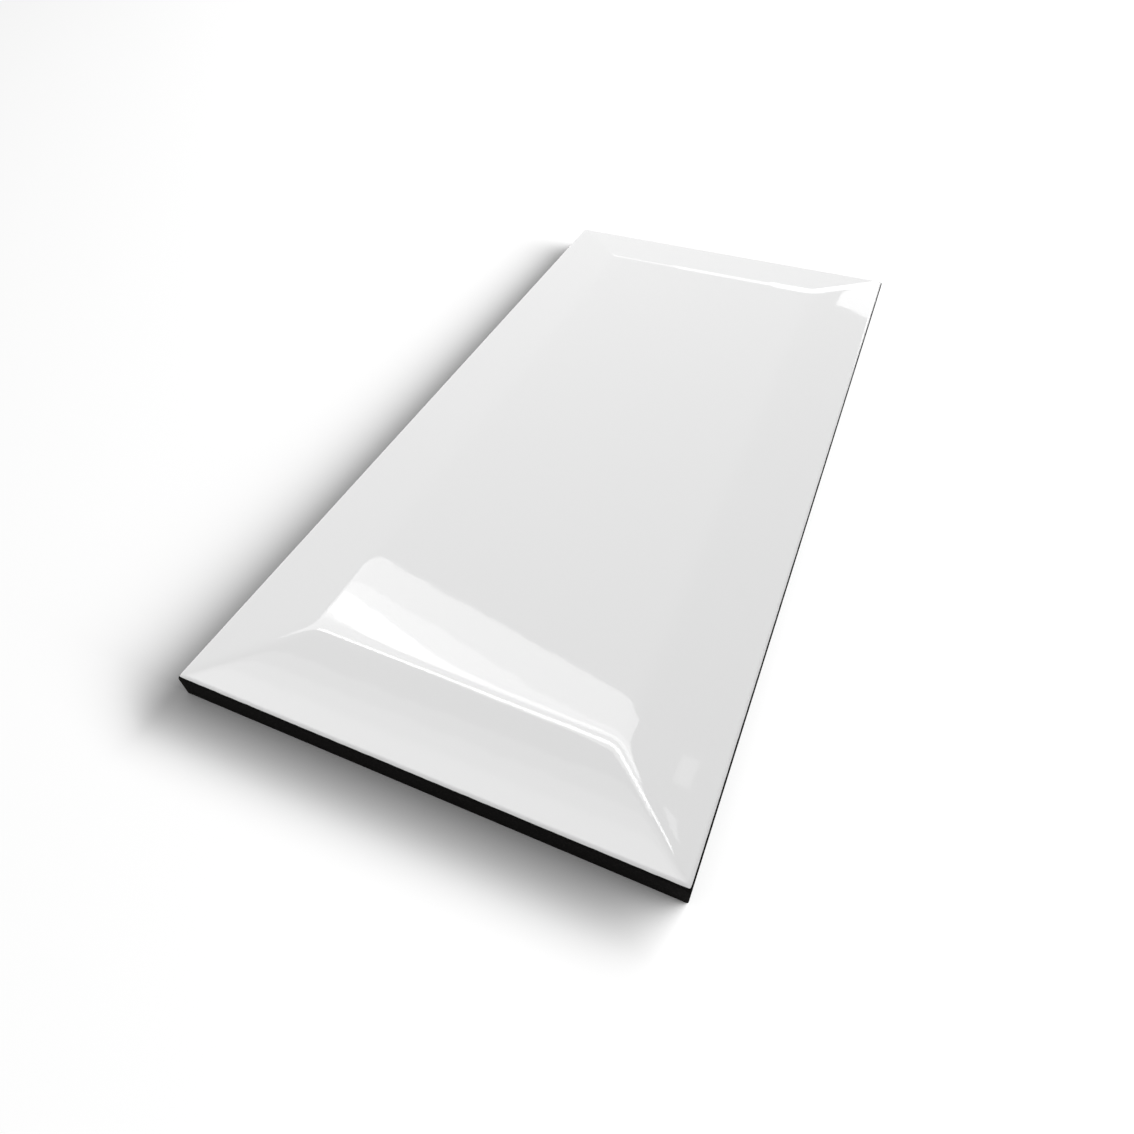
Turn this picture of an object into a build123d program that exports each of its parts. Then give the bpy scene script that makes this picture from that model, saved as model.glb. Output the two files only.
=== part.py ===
"""Bevelled wall tile, 100 x 200 mm, pressed, glazed and fired as one piece.

The tile lies face up. The origin is the centre of its back, +Z points up through the glazed face,
X runs along the short side and Y along the long side. Lengths are in millimetres.
"""

import os

from build123d import *

# The outline in plan.
WIDTH = 100.0
LENGTH = 200.0
CORNER_RADIUS = 0.3  # upright corners, nearly sharp as the die leaves them

# The section, from the upright side up to the flat panel in the middle of the face.
THICKNESS = 7.6  # back to panel
BEVEL_WIDTH = 18.5  # side of the tile to the crease, in plan
BEVEL_RISE = 1.95  # height that the bevel climbs over that width
CREASE_RADIUS = 40.0  # the glaze rounds the creases and the mitred hips this softly
ARRIS_RADIUS = 1.0  # the bevel rolls over into the upright side
BACK_CHAMFER = 0.2  # break round the back

# The keyed back: shallow recesses that the adhesive grips, between ribs that carry the tile.
KEY_COLUMNS = 5
KEY_ROWS = 10
KEY_PITCH = 19.0
KEY_SIZE = 16.0  # mouth of one recess
KEY_CORNER_RADIUS = 1.6
KEY_DEPTH = 0.5
KEY_DRAFT = 30.0  # degrees that the recess walls lean, so that the punch lets go

# The bevels are cut on a blank that is larger all round, so that the creases and hips run on
# past the tile's corners and the outline trims them.
TRIM = 12.0
blank_bevel_width = BEVEL_WIDTH + TRIM
blank_bevel_rise = BEVEL_RISE * blank_bevel_width / BEVEL_WIDTH

# Blank: a flat panel with a bevel falling away from each side, mitred at the corners.
with BuildPart() as blank:
    with BuildSketch(Plane.XY):
        Rectangle(WIDTH + 2 * TRIM, LENGTH + 2 * TRIM)
    extrude(amount=THICKNESS)

    face = blank.faces().sort_by(Axis.Z)[-1]
    chamfer(face.edges(), length=blank_bevel_width, length2=blank_bevel_rise, reference=face)

    panel = blank.faces().sort_by(Axis.Z)[-1]
    bevels = blank.faces().filter_by(lambda f: 0.5 < f.normal_at().Z < 0.9999)
    hips = bevels.edges().filter_by(lambda e: 0.01 < abs(e.tangent_at(0.5).Z) < 0.5)
    fillet(panel.edges() + hips, radius=CREASE_RADIUS)

# Tile: the blank trimmed to the pressed outline, with its edges eased and its back keyed.
with BuildPart() as tile:
    with BuildSketch(Plane.XY):
        Rectangle(WIDTH, LENGTH)
    extrude(amount=THICKNESS)
    add(blank.part, mode=Mode.INTERSECT)

    back = tile.faces().sort_by(Axis.Z)[0]
    chamfer(back.edges(), length=BACK_CHAMFER)

    sides = tile.faces().filter_by(lambda f: abs(f.normal_at().Z) < 0.01)
    arris = sides.edges().filter_by_position(Axis.Z, THICKNESS / 2, THICKNESS)
    fillet(arris, radius=ARRIS_RADIUS)
    fillet(tile.edges().filter_by(Axis.Z), radius=CORNER_RADIUS)

    with BuildSketch(Plane.XY):
        with GridLocations(KEY_PITCH, KEY_PITCH, KEY_COLUMNS, KEY_ROWS):
            RectangleRounded(KEY_SIZE, KEY_SIZE, KEY_CORNER_RADIUS)
    extrude(amount=KEY_DEPTH, taper=KEY_DRAFT, mode=Mode.SUBTRACT)

tile.part.label = "tile"
os.makedirs("parts", exist_ok=True)
export_step(tile.part, "parts/tile.step")
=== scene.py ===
"""A bevelled wall tile, 100 by 200 mm, pressed, glazed and fired as one piece.

The tile lies face up on a pale floor. A white gloss glaze covers the face and rolls over the arris.
Below it the body is bare: near black, matt, and keyed at the back. Lengths are in metres.
"""

import logging
import math
from collections.abc import Callable
from dataclasses import dataclass, field
from enum import Enum

import bmesh
import bpy
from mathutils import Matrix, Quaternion, Vector


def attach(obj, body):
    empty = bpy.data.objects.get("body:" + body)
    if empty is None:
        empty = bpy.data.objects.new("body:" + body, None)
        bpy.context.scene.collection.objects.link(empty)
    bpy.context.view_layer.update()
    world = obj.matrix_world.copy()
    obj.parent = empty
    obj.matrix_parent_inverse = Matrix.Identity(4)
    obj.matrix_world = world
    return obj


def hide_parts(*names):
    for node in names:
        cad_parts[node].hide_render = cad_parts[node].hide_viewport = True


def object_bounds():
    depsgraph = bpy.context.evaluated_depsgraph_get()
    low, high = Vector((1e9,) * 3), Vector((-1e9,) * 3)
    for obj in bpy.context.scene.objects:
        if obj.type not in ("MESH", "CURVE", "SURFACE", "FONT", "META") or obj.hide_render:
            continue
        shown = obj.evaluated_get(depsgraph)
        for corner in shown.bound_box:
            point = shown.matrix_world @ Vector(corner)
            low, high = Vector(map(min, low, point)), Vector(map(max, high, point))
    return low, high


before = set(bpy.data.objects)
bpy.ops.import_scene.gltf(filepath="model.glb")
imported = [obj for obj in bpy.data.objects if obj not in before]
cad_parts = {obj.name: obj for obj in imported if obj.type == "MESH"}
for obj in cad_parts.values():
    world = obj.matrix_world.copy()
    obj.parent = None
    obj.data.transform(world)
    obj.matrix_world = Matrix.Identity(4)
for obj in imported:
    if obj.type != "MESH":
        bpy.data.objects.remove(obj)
cad_low, cad_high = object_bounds()

log = logging.getLogger("tile")

MM = 0.001
UP = Vector((0.0, 0.0, 1.0))

# Places closer than this count as one
SLACK = 0.01 * MM

Colour = tuple[float, float, float]


class Kind(Enum):
    """The kinds of mesh part that edit mode selects, as its three select buttons."""

    VERTS = (True, False, False)
    EDGES = (False, True, False)
    FACES = (False, False, True)


class EdgeWidth(Enum):
    """How far each kind of edge on the outline is rounded, along its faces."""

    ARRIS = 0.9 * MM
    UPRIGHT = 0.3 * MM
    BACK = 0.2 * MM


def select(piece: bpy.types.Object, kind: Kind, test: Callable[..., bool]) -> None:
    """Selects, in edit mode, only the parts of one kind that pass a test.

    Args:
        piece: The object in edit mode.
        kind: Vertices, edges or faces.
        test: Says of one part whether it is selected.
    """
    bpy.context.tool_settings.mesh_select_mode = kind.value
    bpy.ops.mesh.select_all(action="DESELECT")
    shape = bmesh.from_edit_mesh(piece.data)
    for part in getattr(shape, kind.name.lower()):
        part.select_set(test(part))
    shape.select_flush_mode()
    bmesh.update_edit_mesh(piece.data)


def settle(piece: bpy.types.Object) -> None:
    """Leaves edit mode if need be and puts the piece's place, turn and scale into its mesh.

    Args:
        piece: The object that is settled.
    """
    bpy.ops.object.mode_set(mode="OBJECT")
    bpy.ops.object.select_all(action="DESELECT")
    piece.select_set(True)
    bpy.context.view_layer.objects.active = piece
    bpy.ops.object.transform_apply(location=True, rotation=True, scale=True)


def apply_modifier(piece: bpy.types.Object, kind: str, **settings: object) -> None:
    """Adds a modifier to a piece, sets it and applies it.

    Args:
        piece: The object that the modifier changes.
        kind: The modifier's type, as Blender names it.
        **settings: Its properties.
    """
    modifier = piece.modifiers.new(kind.title(), kind)
    for name, value in settings.items():
        setattr(modifier, name, value)
    bpy.context.view_layer.objects.active = piece
    bpy.ops.object.modifier_apply(modifier=modifier.name)


def round_edges(
    piece: bpy.types.Object, steps: int, kind_of: Callable[[Vector, Vector], EdgeWidth | None]
) -> None:
    """Rounds the edges of a piece, each as wide as its kind.

    Args:
        piece: The object whose edges are rounded.
        steps: Facets over each rounding.
        kind_of: Names the kind of an edge by its two ends, or None where it stays as it is.
    """
    mesh = piece.data
    kinds = [kind_of(*(mesh.vertices[i].co for i in edge.vertices)) for edge in mesh.edges]
    widths = [kind.value if kind else 0.0 for kind in kinds]
    name = "bevel_weight_edge"
    weights = mesh.attributes.get(name) or mesh.attributes.new(name, "FLOAT", "EDGE")
    widest = max(widths)
    for index, width in enumerate(widths):
        weights.data[index].value = width / widest
    apply_modifier(piece, "BEVEL", limit_method="WEIGHT", width=widest, segments=steps)


class Shade:
    """A shader socket that takes part in Python expressions and adds Math nodes for them."""

    def __init__(self, sheet: "NodeSheet", socket: bpy.types.NodeSocket) -> None:
        """Wraps a socket of a node sheet."""
        self.sheet = sheet
        self.socket = socket

    def _math(self, operation: str, *terms: "Shade | float") -> "Shade":
        """Adds one Math node and returns its result."""
        return self.sheet.node("ShaderNodeMath", {"operation": operation}, dict(enumerate(terms)))

    def __add__(self, other: "Shade | float") -> "Shade":
        """Sum."""
        return self._math("ADD", self, other)

    def __radd__(self, other: float) -> "Shade":
        """Sum with a number on the left."""
        return self._math("ADD", other, self)

    def __sub__(self, other: "Shade | float") -> "Shade":
        """Difference."""
        return self._math("SUBTRACT", self, other)

    def __rsub__(self, other: float) -> "Shade":
        """Difference from a number on the left."""
        return self._math("SUBTRACT", other, self)

    def __mul__(self, other: "Shade | float") -> "Shade":
        """Product."""
        return self._math("MULTIPLY", self, other)

    def __rmul__(self, other: float) -> "Shade":
        """Product with a number on the left."""
        return self._math("MULTIPLY", other, self)

    def above(self, low: float, high: float) -> "Shade":
        """Rises smoothly from 0 at low to 1 at high."""
        settings = {"interpolation_type": "SMOOTHSTEP"}
        return self.sheet.node("ShaderNodeMapRange", settings, {0: self, 1: low, 2: high})


class NodeSheet:
    """A node tree that is being filled, for a material or the world."""

    def __init__(self, tree: bpy.types.NodeTree) -> None:
        """Empties the tree."""
        self.tree = tree
        tree.nodes.clear()

    def node(
        self,
        kind: str,
        settings: dict[str, object] | None = None,
        inputs: dict[str | int, object] | None = None,
        output: str | int = 0,
    ) -> Shade:
        """Adds a node, sets it first and then fills its sockets.

        Args:
            kind: The node's type.
            settings: The node's own properties.
            inputs: Values or linked shades by socket name or number.
            output: The name or number of the socket to return.

        Returns:
            The chosen output.
        """
        made = self.tree.nodes.new(kind)
        for name, value in (settings or {}).items():
            setattr(made, name, value)
        for name, value in (inputs or {}).items():
            if isinstance(value, Shade):
                self.tree.links.new(value.socket, made.inputs[name])
            else:
                made.inputs[name].default_value = value
        return Shade(self, made.outputs[output])

    def finish(self, shader: Shade, kind: str = "ShaderNodeOutputMaterial") -> None:
        """Links a shader to a new output of the sheet.

        Args:
            shader: The finished shader.
            kind: The type of the output node.
        """
        output = self.tree.nodes.new(kind)
        self.tree.links.new(shader.socket, output.inputs["Surface"])

    def place(self) -> Shade:
        """Gives the object's own coordinates, in metres."""
        return self.node("ShaderNodeTexCoord", output="Object")

    def height(self) -> Shade:
        """Gives the Z of the object's own coordinates."""
        return self.node("ShaderNodeSeparateXYZ", inputs={0: self.place()}, output="Z")

    def noise(self, size: float, detail: float = 2.0, seed: float = 0.0) -> Shade:
        """Smooth noise about 0.5 on the object's own coordinates.

        Args:
            size: The size of one lump, in metres.
            detail: How many finer layers are added.
            seed: Picks another part of the same noise.

        Returns:
            The noise, from 0 to 1.
        """
        settings = {"noise_dimensions": "4D"}
        inputs = {"Vector": self.place(), "W": seed, "Scale": 1.0 / size, "Detail": detail}
        return self.node("ShaderNodeTexNoise", settings, inputs)

    def mix_colour(self, share: Shade, first: Colour, second: Colour) -> Shade:
        """Mixes two plain colours by a share.

        Args:
            share: 0 gives the first colour and 1 the second.
            first: A colour as red, green and blue.
            second: A colour as red, green and blue.

        Returns:
            The mixed colour.
        """
        settings = {"data_type": "RGBA"}
        inputs = {0: share, 6: (*first, 1.0), 7: (*second, 1.0)}
        return self.node("ShaderNodeMix", settings, inputs, output=2)

    def bump(self, relief: Shade, depth: float) -> Shade:
        """A normal bent by a relief.

        Args:
            relief: The height of the relief, from 0 to 1.
            depth: The height in metres that 1 stands for.

        Returns:
            The bent normal.
        """
        return self.node("ShaderNodeBump", {}, {"Strength": 1.0, "Distance": depth, "Height": relief})


@dataclass(frozen=True)
class Glaze:
    """The white gloss glaze on the face.

    Attributes:
        colour: The glaze where it lies full.
        arris_painted_light_colour: The glaze where it thins over the arris, paler than the full glaze:
            painted light on the rounded edge.
        roughness: The blur of its gloss.
        ripple_size: The size of one swell of its slightly uneven surface.
        ripple_depth: The height of those swells.
    """

    colour: Colour = (0.75, 0.75, 0.75)
    # Paler than the full glaze: painted light on the rounded arris, not a greying by the body.
    arris_painted_light_colour: Colour = (0.78, 0.78, 0.78)
    roughness: float = 0.03
    ripple_size: float = 5.0 * MM
    ripple_depth: float = 0.010 * MM


@dataclass(frozen=True)
class Bisque:
    """The bare body at the sides and the back.

    Attributes:
        colour: The fired body.
        grain_colour: Its paler grains.
        roughness: The blur of its sheen.
        sheen: How much it reflects at all, as Blender's specular level.
        grain_size: The size of one grain.
        grain_depth: How far the grains stand out.
    """

    colour: Colour = (0.0060, 0.0056, 0.0054)
    grain_colour: Colour = (0.016, 0.015, 0.014)
    roughness: float = 0.90
    sheen: float = 0.03
    grain_size: float = 0.35 * MM
    grain_depth: float = 0.05 * MM


@dataclass(frozen=True)
class GlazedBody:
    """The one material of the tile: glaze above an edge on the arris, bare body below it.

    Attributes:
        glaze: The finish above the edge.
        bisque: The finish below the edge.
        edge_height: Where the glaze ends, above the back.
        edge_wander: How far that edge wanders up and down.
        edge_blur: The height over which the one gives way to the other.
        full_height: Where the glaze has its full thickness.
    """

    glaze: Glaze = Glaze()
    bisque: Bisque = Bisque()
    edge_height: float = 5.42 * MM
    edge_wander: float = 0.12 * MM
    edge_blur: float = 0.02 * MM
    full_height: float = 5.85 * MM

    def make(self) -> bpy.types.Material:
        """Builds the material.

        Returns:
            The material for the whole tile.
        """
        material = bpy.data.materials.new("glazed_body")
        material.use_nodes = True
        sheet = NodeSheet(material.node_tree)
        edge = sheet.height() + self.edge_wander * (sheet.noise(2.5 * MM) - 0.5)
        covered = edge.above(self.edge_height, self.edge_height + self.edge_blur)
        shader = sheet.node(
            "ShaderNodeMixShader",
            inputs={0: covered, 1: self.bare_shader(sheet), 2: self.glaze_shader(sheet)},
        )
        sheet.finish(shader)
        return material

    def glaze_shader(self, sheet: NodeSheet) -> Shade:
        """Builds the glaze on a sheet and returns its shader."""
        glaze = self.glaze
        # From the glaze's edge up to its full height the colour turns paler, as painted light on the
        # rounded arris.
        full = sheet.height().above(self.edge_height, self.full_height)
        ripple = sheet.noise(glaze.ripple_size, detail=1.0, seed=3.0)
        return sheet.node(
            "ShaderNodeBsdfPrincipled",
            inputs={
                "Base Color": sheet.mix_colour(full, glaze.arris_painted_light_colour, glaze.colour),
                "Roughness": glaze.roughness,
                "Normal": sheet.bump(ripple, glaze.ripple_depth),
            },
        )

    def bare_shader(self, sheet: NodeSheet) -> Shade:
        """Builds the bare body on a sheet and returns its shader."""
        bisque = self.bisque
        grain = sheet.noise(bisque.grain_size, detail=3.0)
        pale = grain.above(0.45, 0.75)
        return sheet.node(
            "ShaderNodeBsdfPrincipled",
            inputs={
                "Base Color": sheet.mix_colour(pale, bisque.colour, bisque.grain_colour),
                "Roughness": bisque.roughness,
                "Specular IOR Level": bisque.sheen,
                "Normal": sheet.bump(grain, bisque.grain_depth),
            },
        )


@dataclass
class KeyedBack:
    """The back: shallow recesses between ribs, in a grid.

    Attributes:
        columns: Recesses across the tile.
        rows: Recesses along it.
        pitch: From one recess to the next.
        mouth: The width of one recess where it opens.
        corner_radius: The rounding of its corners in plan.
        corner_steps: Facets on one such corner.
        steps: From the mouth inwards, how far in and how deep each step of the wall goes.
    """

    columns: int = 5
    rows: int = 10
    pitch: float = 19.0 * MM
    mouth: float = 16.0 * MM
    corner_radius: float = 1.6 * MM
    corner_steps: int = 5
    steps: tuple[tuple[float, float], ...] = (
        (0.07 * MM, 0.03 * MM),
        (0.22 * MM, 0.44 * MM),
        (0.09 * MM, 0.03 * MM),
    )

    def build(self) -> bpy.types.Object:
        """Models one recess in its square of rib and repeats it over the back.

        Returns:
            An open sheet in the plane of the back.
        """
        first = (-(self.columns - 1) / 2 * self.pitch, -(self.rows - 1) / 2 * self.pitch, 0.0)
        bpy.ops.mesh.primitive_plane_add(size=self.pitch, location=first)
        back = bpy.context.object
        settle(back)
        bpy.ops.object.mode_set(mode="EDIT")
        bpy.ops.mesh.select_all(action="SELECT")
        bpy.ops.mesh.inset(thickness=(self.pitch - self.mouth) / 2)
        bpy.ops.mesh.bevel(offset=self.corner_radius, segments=self.corner_steps, affect="VERTICES")
        centre = Vector(first)
        select(back, Kind.FACES, lambda f: (f.calc_center_median() - centre).length < 0.1 * MM)
        for inwards, depth in self.steps:
            bpy.ops.mesh.inset(thickness=inwards, depth=depth)
        bpy.ops.object.mode_set(mode="OBJECT")
        for count, offset in ((self.columns, (self.pitch, 0, 0)), (self.rows, (0, self.pitch, 0))):
            apply_modifier(
                back,
                "ARRAY",
                count=count,
                use_relative_offset=False,
                use_constant_offset=True,
                constant_offset_displace=offset,
                use_merge_vertices=True,
                merge_threshold=SLACK,
            )
        return back


@dataclass
class WallTile:
    """The tile as one closed piece.

    Attributes:
        low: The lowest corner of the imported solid.
        high: Its highest corner.
        bevel_width: From a side to the crease, in plan.
        bevel_rise: How far the bevel climbs over that width.
        cell: The side of one square of the mesh over the face, wider than the arris.
        margin_cells: How many more of them the face has at each side before it is trimmed.
        softening: Passes that soften the creases and hips, each over half a cell.
        steps: Facets over each rounding of the outline.
        back_rim: The flat rim of the shell round the back.
        smooth_below: Facets that meet at less than this angle are shaded as one surface.
        back: The keyed back.
        finish: The material.
    """

    low: Vector
    high: Vector
    bevel_width: float = 18.5 * MM
    bevel_rise: float = 1.95 * MM
    cell: float = 1.0 * MM
    margin_cells: int = 5
    softening: int = 6
    steps: int = 10
    back_rim: float = 0.6 * MM
    smooth_below: float = math.radians(20)
    back: KeyedBack = field(default_factory=KeyedBack)
    finish: GlazedBody = GlazedBody()

    def build(self) -> bpy.types.Object:
        """Builds the tile, dresses it and puts it in the place of its CAD node.

        Returns:
            The finished piece.
        """
        tile = self.close(self.shell(self.face(self.blank())), self.back.build())
        tile.name = tile.data.name = "glazed_tile"
        tile.data.materials.append(self.finish.make())
        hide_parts("tile")
        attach(tile, "root")
        return tile

    def blank(self) -> bpy.types.Object:
        """Models the pressed face with sharp edges, on a blank that is larger all round.

        Returns:
            A closed box with a raised panel and four mitred bevels.
        """
        margin = (self.margin_cells + 1) * self.cell
        size = self.high - self.low + Vector((2 * margin, 2 * margin, 0.0))
        bpy.ops.mesh.primitive_cube_add(size=1, location=(self.low + self.high) / 2, scale=size)
        blank = bpy.context.object
        settle(blank)
        top = self.high.z
        outline = self.high.x + margin
        width = self.bevel_width + margin
        bpy.ops.object.mode_set(mode="EDIT")
        select(blank, Kind.FACES, lambda f: f.normal.z > 0.9)
        bpy.ops.mesh.inset(thickness=width)
        select(blank, Kind.VERTS, lambda v: v.co.z > top * 0.99 and abs(v.co.x) > outline * 0.99)
        bpy.ops.transform.translate(value=(0, 0, -self.bevel_rise * width / self.bevel_width))
        bpy.ops.object.mode_set(mode="OBJECT")
        return blank

    def face(self, blank: bpy.types.Object) -> bpy.types.Object:
        """Drapes an even mesh over the blank, softens its creases and hips and trims it.

        Args:
            blank: The blank, which is used up.

        Returns:
            The open face, as large as the tile.
        """
        size = self.high - self.low
        cells = [round(length / self.cell) + 2 * self.margin_cells for length in size.xy]
        bpy.ops.mesh.primitive_grid_add(
            x_subdivisions=cells[0],
            y_subdivisions=cells[1],
            size=1,
            location=(0, 0, self.high.z * 2),
        )
        face = bpy.context.object
        face.scale = (cells[0] * self.cell, cells[1] * self.cell, 1)
        settle(face)
        apply_modifier(
            face,
            "SHRINKWRAP",
            target=blank,
            wrap_method="PROJECT",
            use_project_z=True,
            use_negative_direction=True,
            use_positive_direction=False,
        )
        bpy.data.objects.remove(blank)
        apply_modifier(face, "SMOOTH", factor=0.5, iterations=self.softening, use_x=False, use_y=False)
        bpy.ops.object.mode_set(mode="EDIT")
        select(face, Kind.FACES, lambda f: self.beyond(f.calc_center_median()))
        bpy.ops.mesh.delete(type="FACE")
        bpy.ops.object.mode_set(mode="OBJECT")
        return face

    def beyond(self, place: Vector) -> bool:
        """Says whether a place is outside the outline of the tile."""
        return abs(place.x) > self.high.x or abs(place.y) > self.high.y

    def on_outline(self, start: Vector, end: Vector) -> bool:
        """Says whether an edge lies in one of the four sides."""
        pairs = ((start.x, end.x, self.high.x), (start.y, end.y, self.high.y))
        return any(abs(a) > side - SLACK and abs(a - b) < SLACK for a, b, side in pairs)

    def at_corner(self, place: Vector) -> bool:
        """Says whether a place is on one of the four upright corners."""
        return abs(place.x) > self.high.x - SLACK and abs(place.y) > self.high.y - SLACK

    def outer_edge(self, start: Vector, end: Vector) -> EdgeWidth | None:
        """Names the edges on the outline that are eased."""
        if not self.on_outline(start, end):
            return None
        middle = self.high.z / 2
        if min(start.z, end.z) > middle:
            return EdgeWidth.ARRIS
        if max(start.z, end.z) < middle:
            return EdgeWidth.BACK
        return EdgeWidth.UPRIGHT if self.at_corner(start) and self.at_corner(end) else None

    def shell(self, face: bpy.types.Object) -> bpy.types.Object:
        """Draws the sides and a narrow flat rim out of the face and eases the edges.

        Args:
            face: The open face.

        Returns:
            The same piece as a shell, open at the back.
        """
        bpy.ops.object.mode_set(mode="EDIT")
        select(face, Kind.EDGES, lambda e: e.is_boundary)
        rim = (1 - self.back_rim / self.high.x, 1 - self.back_rim / self.high.y, 1)
        for scale in ((1, 1, 0), rim):
            bpy.ops.mesh.extrude_region()
            bpy.ops.transform.resize(value=scale, center_override=(0, 0, 0))
        bpy.ops.object.mode_set(mode="OBJECT")
        round_edges(face, self.steps, self.outer_edge)
        return face

    def close(self, shell: bpy.types.Object, back: bpy.types.Object) -> bpy.types.Object:
        """Joins the keyed back to the shell and closes the rim between them.

        Args:
            shell: The rounded shell.
            back: The keyed back.

        Returns:
            One closed piece, smooth but for its sharper edges.
        """
        bpy.ops.object.select_all(action="DESELECT")
        back.select_set(True)
        shell.select_set(True)
        bpy.context.view_layer.objects.active = shell
        bpy.ops.object.join()
        bpy.ops.object.mode_set(mode="EDIT")
        select(shell, Kind.EDGES, lambda e: e.is_boundary)
        bpy.ops.mesh.bridge_edge_loops()
        bpy.ops.mesh.select_all(action="SELECT")
        bpy.ops.mesh.normals_make_consistent(inside=False)
        bpy.ops.object.mode_set(mode="OBJECT")
        bpy.ops.object.shade_smooth_by_angle(angle=self.smooth_below)
        return shell


class Taker(Enum):
    """Which things a lamp lights."""

    TILE = "tile_only"
    FLOOR = "floor_only"
    BOTH = "tile_and_floor"


@dataclass(frozen=True)
class Softbox:
    """A rectangular lamp.

    Attributes:
        name: What it is.
        centre: Where its middle is.
        size: Its width and height.
        brightness: What it looks like in a mirror, where 1 is white.
        taker: What it lights.
        aim: The point that it faces. Without one it faces straight down.
        turn: Degrees that it is turned about its own axis.
        mirrored: Whether gloss shows it.
    """

    name: str
    centre: tuple[float, float, float]
    size: tuple[float, float]
    brightness: float
    taker: Taker = Taker.BOTH
    aim: tuple[float, float, float] | None = None
    turn: float = 0.0
    mirrored: bool = True

    def build(self, takers: dict[Taker, bpy.types.Collection]) -> bpy.types.Object:
        """Adds the lamp.

        Args:
            takers: The things that each kind of lamp lights.

        Returns:
            The lamp.
        """
        lamp = bpy.data.lights.new(self.name, "AREA")
        lamp.shape = "RECTANGLE"
        lamp.size, lamp.size_y = self.size
        lamp.energy = self.brightness * math.pi * self.size[0] * self.size[1]
        box = bpy.data.objects.new(self.name, lamp)
        bpy.context.scene.collection.objects.link(box)
        box.location = self.centre
        box.rotation_mode = "QUATERNION"
        box.rotation_quaternion = self.facing() @ Quaternion(UP, math.radians(self.turn))
        box.visible_glossy = self.mirrored
        box.light_linking.receiver_collection = takers[self.taker]
        return box

    def facing(self) -> Quaternion:
        """The turn that points a lamp, which faces down by itself, at its aim."""
        if self.aim is None:
            return Quaternion()
        return (Vector(self.aim) - Vector(self.centre)).to_track_quat("-Z", "Y")


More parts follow.
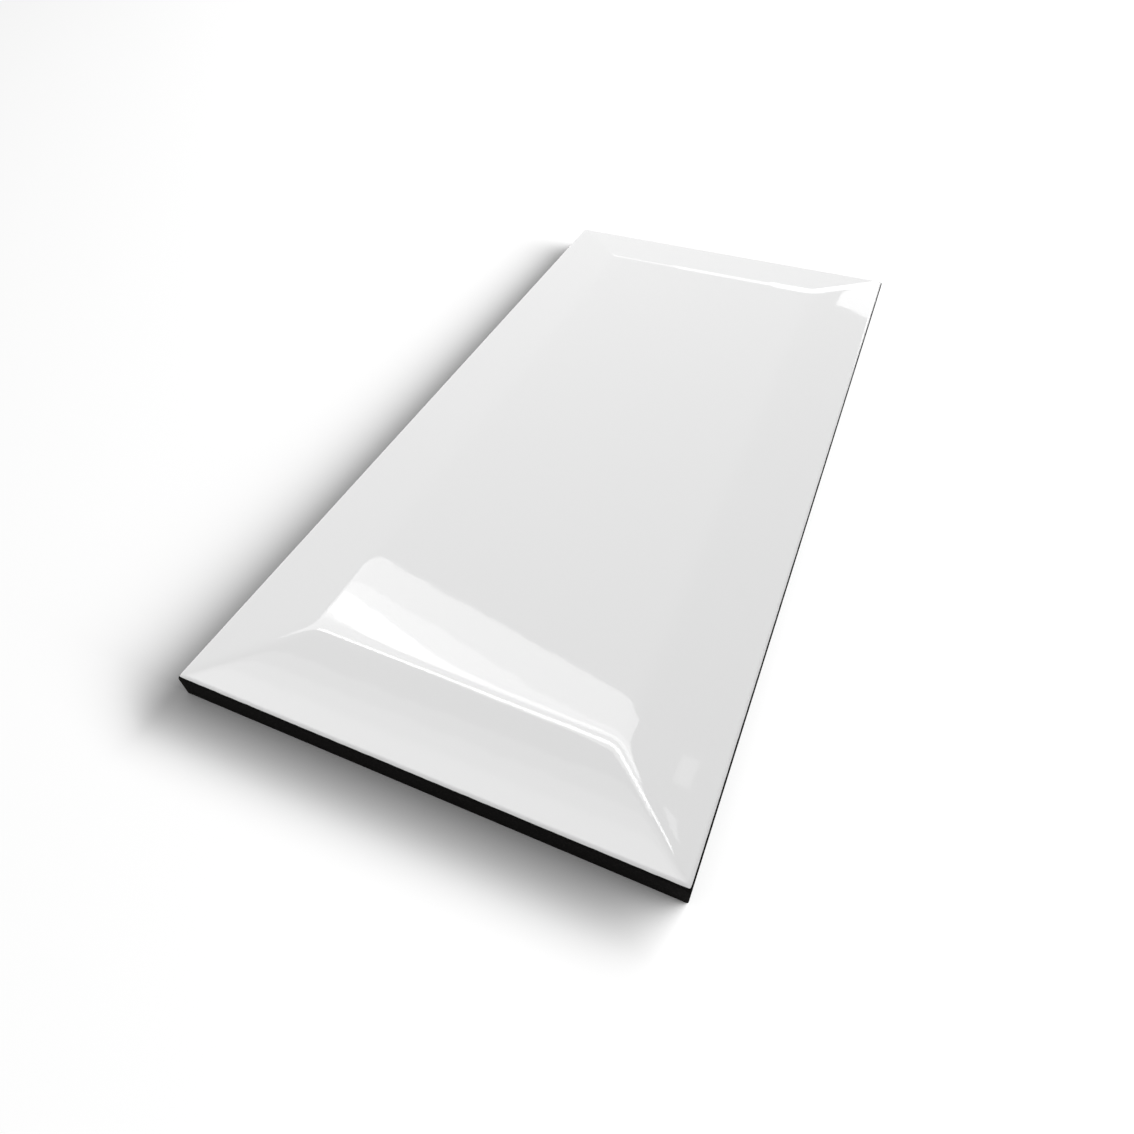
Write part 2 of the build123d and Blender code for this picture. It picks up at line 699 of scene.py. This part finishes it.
@dataclass
class Studio:
    """The floor, the lamps, the surroundings and the camera.

    Attributes:
        floor_size: The side of the floor.
        floor_colour: Its colour.
        fill: How bright the surroundings are as a lamp.
        lens: The camera's focal length on a 36 mm wide sensor, in millimetres.
        eye: Where the camera is.
        target: The point in the middle of its view.
        roll: Degrees that it is turned clockwise.
        lamps: The floor's low lamp, the tile's soft light, then the lamps that the glaze mirrors.
    """

    floor_size: float = 8.0
    floor_colour: Colour = (0.99, 0.99, 0.99)
    fill: float = 0.27
    lens: float = 24.26
    eye: tuple[float, float, float] = (50.3 * MM, -144.0 * MM, 124.35 * MM)
    target: tuple[float, float, float] = (7.32 * MM, -48.46 * MM, 7.6 * MM)
    roll: float = 1.26
    lamps: tuple[Softbox, ...] = (
        Softbox(
            "low_key", (1.900, 1.355, 0.896), (4.40, 0.65), 22.8,
            Taker.FLOOR, aim=(0, 0, 0), turn=10.0,
        ),
        Softbox(
            "overhead", (-0.25, 0.45, 1.00), (0.80, 0.80), 3.45,
            Taker.TILE, aim=(0, 0, 0), mirrored=False,
        ),
        Softbox("near_glow", (-0.42, 0.015, 1.000), (1.15, 0.15), 0.75, Taker.TILE),
        Softbox("near_glow_middle", (-0.42, 0.045, 1.003), (1.15, 0.15), 0.75, Taker.TILE),
        Softbox("near_glow_far", (-0.42, 0.075, 1.006), (1.15, 0.15), 0.75, Taker.TILE),
        Softbox("window", (-0.46, 0.432, 1.0), (1.04, 0.325), 2.6, Taker.TILE, turn=-11.6),
        Softbox("window_glow", (-0.42, 0.463, 0.997), (0.96, 0.095), 1.2, Taker.TILE, turn=-12.4),
        Softbox("window_bar", (-0.42, 0.431, 0.994), (0.98, 0.055), 2.6, Taker.TILE, turn=-15.8),
        Softbox("window_sill", (-0.305, 0.268, 0.990), (0.84, 0.036), 6.5, Taker.TILE, turn=-9.7),
        Softbox("side_pane_far", (0.195, 0.445, 0.997), (0.030, 0.05), 1.1, Taker.TILE),
        Softbox("side_pane_near", (0.187, 0.335, 0.997), (0.035, 0.06), 1.5, Taker.TILE),
        Softbox(
            "far_window", (0.20, 1.000, 0.355), (0.60, 0.18), 1.9,
            Taker.TILE, aim=(0.20, 0, 0.355),
        ),
        Softbox(
            "far_window_core", (0.125, 0.997, 0.355), (0.75, 0.13), 1.1,
            Taker.TILE, aim=(0.125, 0, 0.355),
        ),
        Softbox(
            "far_window_end", (0.05, 0.994, 0.355), (0.90, 0.06), 1.0,
            Taker.TILE, aim=(0.05, 0, 0.355),
        ),
        Softbox(
            "far_window_side", (0.220, 0.991, 0.443), (0.25, 0.09), 1.8,
            Taker.TILE, aim=(0.220, 0, 0.443),
        ),
    )

    def build(self, tile: bpy.types.Object) -> None:
        """Sets up everything round the tile.

        Args:
            tile: The finished tile.
        """
        floor = self.floor()
        takers: dict[Taker, bpy.types.Collection] = {}
        for taker, things in ((Taker.TILE, (tile,)), (Taker.FLOOR, (floor,)), (Taker.BOTH, (tile, floor))):
            takers[taker] = bpy.data.collections.new(taker.value)
            for thing in things:
                takers[taker].objects.link(thing)
        for lamp in self.lamps:
            lamp.build(takers)
        self.surroundings()
        self.camera()

    def floor(self) -> bpy.types.Object:
        """Adds the plain pale floor that the tile lies on and returns it."""
        bpy.ops.mesh.primitive_plane_add(size=self.floor_size)
        floor = bpy.context.object
        floor.name = "floor"
        material = bpy.data.materials.new("floor")
        material.use_nodes = True
        sheet = NodeSheet(material.node_tree)
        colour = (*self.floor_colour, 1.0)
        sheet.finish(sheet.node("ShaderNodeBsdfDiffuse", inputs={"Color": colour}))
        floor.data.materials.append(material)
        return floor

    def surroundings(self) -> None:
        """Makes the world white to the camera and to reflections, and a soft fill otherwise."""
        world = bpy.data.worlds.new("surroundings")
        world.use_nodes = True
        bpy.context.scene.world = world
        sheet = NodeSheet(world.node_tree)
        camera = sheet.node("ShaderNodeLightPath", output="Is Camera Ray")
        glossy = sheet.node("ShaderNodeLightPath", output="Is Glossy Ray")
        clear = sheet.node("ShaderNodeLightPath", output="Is Transmission Ray")
        seen = camera + glossy + clear
        strength = self.fill + (1.0 - self.fill) * seen
        inputs = {"Color": (1.0, 1.0, 1.0, 1.0), "Strength": strength}
        shader = sheet.node("ShaderNodeBackground", inputs=inputs)
        sheet.finish(shader, "ShaderNodeOutputWorld")

    def camera(self) -> None:
        """Adds the camera at the photograph's viewing angle."""
        camera = bpy.data.objects.new("camera", bpy.data.cameras.new("camera"))
        bpy.context.scene.collection.objects.link(camera)
        camera.data.sensor_width = 36.0
        camera.data.lens = self.lens
        camera.data.clip_start = 0.01
        eye = Vector(self.eye)
        looking = (Vector(self.target) - eye).to_track_quat("-Z", "Y")
        camera.rotation_mode = "QUATERNION"
        camera.rotation_quaternion = looking @ Quaternion(UP, math.radians(-self.roll))
        camera.location = eye
        bpy.context.scene.camera = camera


def main() -> None:
    """Builds the tile and the studio round it."""
    logging.basicConfig(level=logging.INFO, format="%(name)s: %(message)s")
    bpy.context.scene.view_settings.view_transform = "Standard"
    tile = WallTile(cad_low, cad_high).build()
    log.info("%s: %d faces", tile.name, len(tile.data.polygons))
    Studio().build(tile)


if __name__ == "__main__":
    main()
